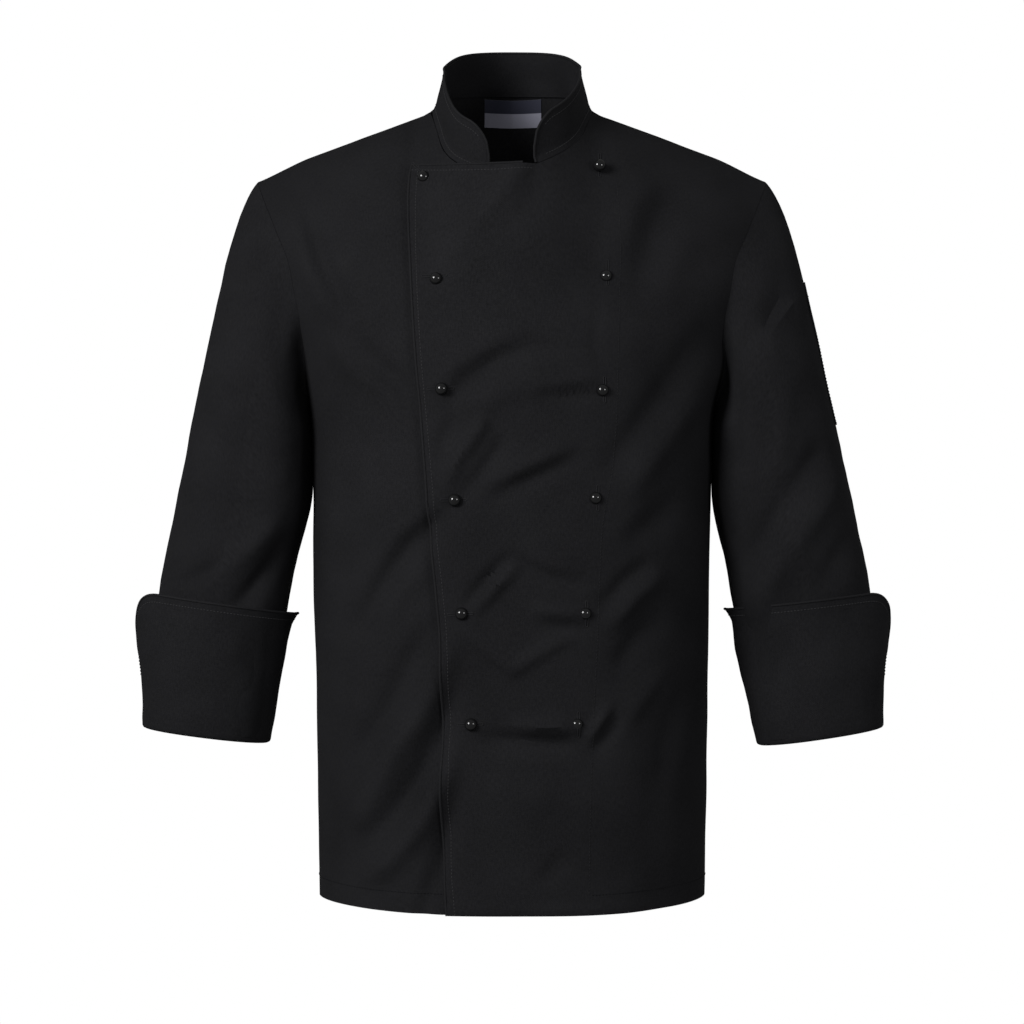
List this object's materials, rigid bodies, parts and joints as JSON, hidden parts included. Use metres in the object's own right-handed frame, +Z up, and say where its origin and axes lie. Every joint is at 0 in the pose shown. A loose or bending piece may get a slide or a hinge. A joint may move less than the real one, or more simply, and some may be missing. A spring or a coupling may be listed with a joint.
{
  "type": "chef jacket",
  "caption": "Double-breasted jacket filled out as worn, with a stand collar open in front, ball studs, long sleeves with deep turned-back cuffs and piped edges.",
  "frame": {"origin": "middle of the neck opening, level with the points where the shoulder seams meet the collar", "axes": "+Z up, the front faces -Y, the wearer's left side is on +X"},
  "size_m": [0.7301, 0.2729, 0.8304],
  "materials": {
    "cloth": "fine matt twill, black",
    "piping": "smooth rolled edge, black",
    "label": "woven satin, bare",
    "stud": "polished black"
  },
  "bodies": {
    "root": {"back": "cloth", "front_left": "cloth", "front_right": "cloth", "sleeve_left": "cloth", "sleeve_right": "cloth", "cuff_left": "cloth", "cuff_right": "cloth", "collar": "cloth", "sleeve_pocket": "cloth", "piping_front": "piping", "piping_collar": "piping", "piping_cuff_left": "piping", "piping_cuff_right": "piping", "neck_label": "label", "stud_right_1": "stud", "stud_right_2": "stud", "stud_right_3": "stud", "stud_right_4": "stud", "stud_right_5": "stud", "stud_right_6": "stud", "stud_left_1": "stud", "stud_left_2": "stud", "stud_left_3": "stud", "stud_left_4": "stud", "stud_left_5": "stud", "stud_left_6": "stud"}
  },
  "joints": []
}
